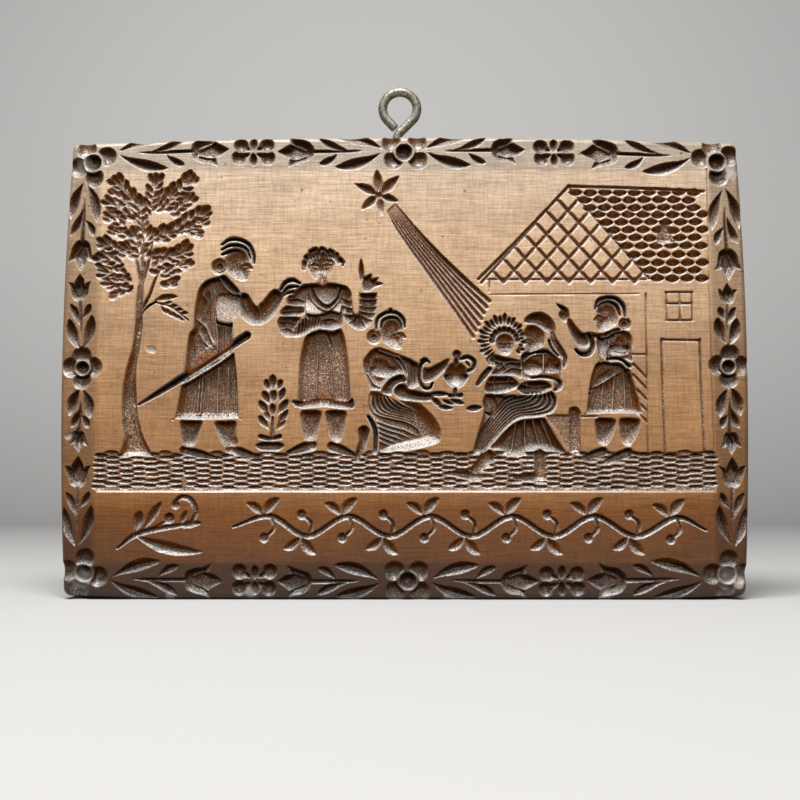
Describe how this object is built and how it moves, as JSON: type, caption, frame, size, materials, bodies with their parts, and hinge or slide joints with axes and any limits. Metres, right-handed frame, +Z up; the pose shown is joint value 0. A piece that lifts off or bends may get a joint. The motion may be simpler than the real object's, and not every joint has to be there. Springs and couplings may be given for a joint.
{
  "type": "carved cookie mold",
  "caption": "Carved wooden cookie mold: a thick board with a recessed picture inside a leafy border, and a wire eye in its top edge for hanging.",
  "frame": {"origin": "middle of the box's base: under the middle of the board's bottom edge, midway through its thickness", "axes": "+Z up the board to its hanging eye, +X to the right as the carved face is seen, +Y from the carved face to the flat back"},
  "size_m": [0.1876, 0.019, 0.1435],
  "materials": {
    "carved_wood": "satin",
    "eye_wire": "worn"
  },
  "bodies": {
    "root": {"carved_board": "carved_wood", "hanging_eye": "eye_wire"}
  },
  "joints": []
}
